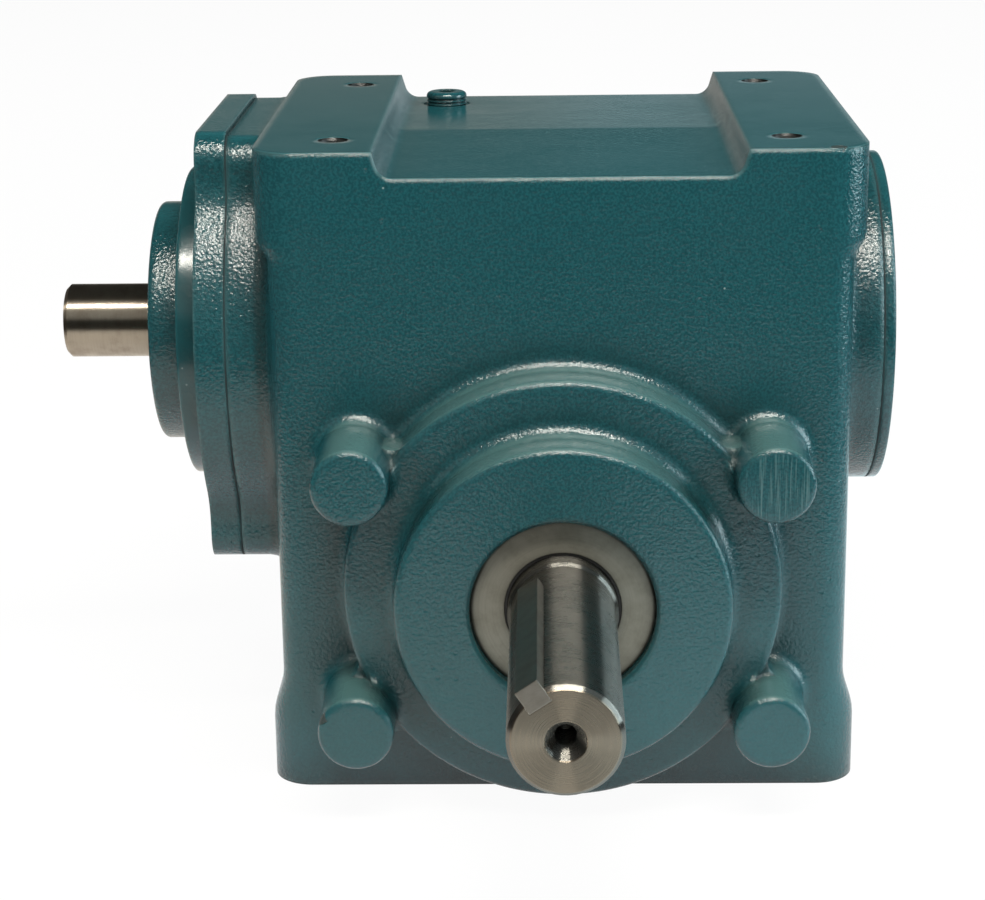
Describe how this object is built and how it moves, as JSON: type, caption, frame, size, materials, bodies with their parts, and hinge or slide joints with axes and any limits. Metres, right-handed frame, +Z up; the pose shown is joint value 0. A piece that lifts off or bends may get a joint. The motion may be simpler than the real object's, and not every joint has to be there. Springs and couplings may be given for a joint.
{
  "type": "right angle worm gear reducer",
  "caption": "Cast worm gear reducer with footed case, solid keyed output shaft through a bossed hub and a keyed worm input shaft at right angles to it.",
  "frame": {"origin": "centre of the four base holes, on the base plane", "axes": "+X along the worm away from the input shaft, +Y along the output axis away from the output shaft's free end, +Z up"},
  "size_m": [0.2453, 0.2941, 0.1841],
  "materials": {
    "case_paint": "glossy blue green enamel over a sand cast skin",
    "cover_paint": "glossy blue green enamel over a sand cast skin",
    "end_cover_paint": "glossy blue green enamel on a pressed plate",
    "bolt_paint": "enamel over a steel bolt head",
    "plug_paint": "enamel over a steel plug",
    "gasket": "thin fibre sheet",
    "screw_steel": "dark alloy steel",
    "seal_steel": "bare pressed steel, slightly dulled",
    "seal_rubber": "black nitrile",
    "shaft_steel": "ground steel",
    "worm_steel": "ground steel",
    "key_steel": "cold drawn bar",
    "wheel_iron": "machined grey iron",
    "wheel_bronze": "machined bronze",
    "spacer_steel": "turned steel",
    "bearing_steel": "ground bearing steel",
    "cage_steel": "pressed steel"
  },
  "bodies": {
    "gearcase": {"housing": "case_paint", "input_cover": "cover_paint", "output_cover": "cover_paint", "end_cover": "end_cover_paint", "input_cover_gasket": "gasket", "end_cover_gasket": "gasket", "output_cover_gasket": "gasket", "input_cover_screws": "screw_steel", "end_cover_screws": "screw_steel", "output_cover_bolts": "bolt_paint", "fill_plug": "plug_paint", "level_plug": "plug_paint", "drain_plug": "plug_paint", "output_seal_case": "seal_steel", "input_seal_case": "seal_steel", "output_seal_lip": "seal_rubber", "input_seal_lip": "seal_rubber", "output_front_cup": "bearing_steel", "output_rear_cup": "bearing_steel", "worm_input_cup": "bearing_steel", "worm_end_cup": "bearing_steel"},
    "output": {"output_shaft": "shaft_steel", "output_key": "key_steel", "wheel_hub": "wheel_iron", "wheel_rim": "wheel_bronze", "wheel_key": "key_steel", "wheel_spacer": "spacer_steel", "output_front_cone": "bearing_steel", "output_rear_cone": "bearing_steel"},
    "worm": {"worm_shaft": "worm_steel", "input_key": "key_steel", "worm_input_cone": "bearing_steel", "worm_end_cone": "bearing_steel"},
    "output_front_roller_set": {"output_front_rollers": "bearing_steel", "output_front_cage": "cage_steel"},
    "output_rear_roller_set": {"output_rear_rollers": "bearing_steel", "output_rear_cage": "cage_steel"},
    "worm_input_roller_set": {"worm_input_rollers": "bearing_steel", "worm_input_cage": "cage_steel"},
    "worm_end_roller_set": {"worm_end_rollers": "bearing_steel", "worm_end_cage": "cage_steel"}
  },
  "joints": [
    {"name": "output_spin", "type": "hinge", "parent": "gearcase", "child": "output", "pos_m": [0, 0, 0.0635], "axis": [0, 1, 0], "continuous": true},
    {"name": "worm_spin", "type": "hinge", "parent": "gearcase", "child": "worm", "pos_m": [0, 0, 0.12065], "axis": [1, 0, 0], "continuous": true},
    {"name": "output_front_roller_spin", "type": "hinge", "parent": "gearcase", "child": "output_front_roller_set", "pos_m": [0, 0, 0.0635], "axis": [0, 1, 0], "continuous": true},
    {"name": "output_rear_roller_spin", "type": "hinge", "parent": "gearcase", "child": "output_rear_roller_set", "pos_m": [0, 0, 0.0635], "axis": [0, 1, 0], "continuous": true},
    {"name": "worm_input_roller_spin", "type": "hinge", "parent": "gearcase", "child": "worm_input_roller_set", "pos_m": [0, 0, 0.12065], "axis": [1, 0, 0], "continuous": true},
    {"name": "worm_end_roller_spin", "type": "hinge", "parent": "gearcase", "child": "worm_end_roller_set", "pos_m": [0, 0, 0.12065], "axis": [1, 0, 0], "continuous": true}
  ],
  "couplings": [
    {"joint": "worm_spin", "follows": "output_spin", "ratio": -30},
    {"joint": "output_front_roller_spin", "follows": "output_spin", "ratio": 0.429},
    {"joint": "output_rear_roller_spin", "follows": "output_spin", "ratio": 0.429},
    {"joint": "worm_input_roller_spin", "follows": "output_spin", "ratio": -12.648},
    {"joint": "worm_end_roller_spin", "follows": "output_spin", "ratio": -12.648}
  ]
}
